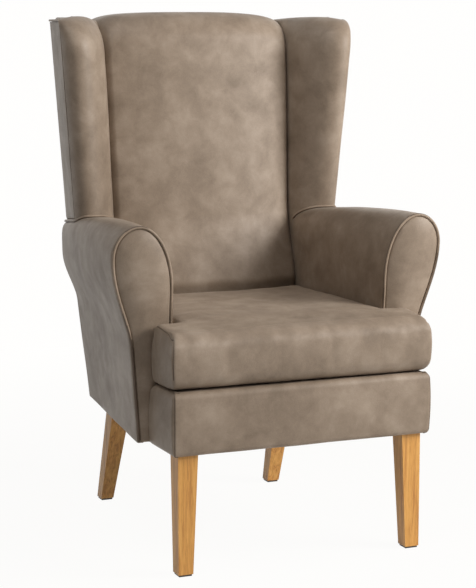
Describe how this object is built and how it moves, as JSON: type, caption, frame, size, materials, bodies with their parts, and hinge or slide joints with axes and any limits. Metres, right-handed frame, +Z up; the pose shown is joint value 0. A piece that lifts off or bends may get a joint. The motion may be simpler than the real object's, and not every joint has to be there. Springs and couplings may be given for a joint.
{
  "type": "fireside chair",
  "caption": "High-backed fireside wing chair with rolled padded arms, a loose T-shaped seat cushion and raked, tapered wooden legs.",
  "frame": {"origin": "on the floor, under the middle of the chair's outline", "axes": "+Z up; the front of the chair faces -Y; +X is the side of the right-hand arm as seen from the front"},
  "size_m": [0.7256, 0.6994, 1.1027],
  "materials": {
    "upholstery": "mocha aged faux suede, satin matt with soft mottling",
    "piping": "the same cover, rolled over cord",
    "oak_legs": "natural oak, satin lacquer",
    "beech_frame": "sawn beech and plywood, unfinished",
    "webbing": "elastic upholstery webbing",
    "seat_foam": "upholstery foam",
    "black_lining": "black bottoming and platform cloth",
    "nylon_glides": "moulded nylon",
    "steel_fixings": "zinc-plated steel"
  },
  "bodies": {
    "chair": {"front_leg_left": "oak_legs", "front_leg_right": "oak_legs", "rear_leg_left": "oak_legs", "rear_leg_right": "oak_legs", "leg_glides": "nylon_glides", "leg_bolts": "steel_fixings", "leg_nuts": "steel_fixings", "dust_cover": "black_lining", "seat_front_rail": "beech_frame", "seat_back_rail": "beech_frame", "seat_side_rail_left": "beech_frame", "seat_side_rail_right": "beech_frame", "corner_blocks": "beech_frame", "seat_webbing": "webbing", "seat_platform": "black_lining", "front_border": "upholstery", "back_upright_left": "beech_frame", "back_upright_right": "beech_frame", "back_top_rail": "beech_frame", "back_lower_rail": "beech_frame", "back_webbing": "webbing", "inside_back": "upholstery", "outside_back": "upholstery", "arm_front_board_left": "beech_frame", "arm_front_board_right": "beech_frame", "arm_rear_post_left": "beech_frame", "arm_rear_post_right": "beech_frame", "arm_top_rail_left": "beech_frame", "arm_top_rail_right": "beech_frame", "arm_pad_left": "upholstery", "arm_pad_right": "upholstery", "arm_facing_left": "upholstery", "arm_facing_right": "upholstery", "arm_piping_left": "piping", "arm_piping_right": "piping", "wing_pad_left": "upholstery", "wing_pad_right": "upholstery", "wing_side_board_left": "beech_frame", "wing_side_board_right": "beech_frame", "wing_rear_board_left": "beech_frame", "wing_rear_board_right": "beech_frame", "outside_wing_left": "upholstery", "outside_wing_right": "upholstery", "wing_piping_left": "piping", "wing_piping_right": "piping", "wing_foot_piping_left": "piping", "wing_foot_piping_right": "piping"},
    "cushion": {"seat_cushion_cover": "upholstery", "seat_cushion_foam": "seat_foam"}
  },
  "joints": [
    {"name": "cushion_lift", "type": "slide", "parent": "chair", "child": "cushion", "axis": [0, -0.0724, 0.9974], "range_m": [0, 0.3]}
  ]
}
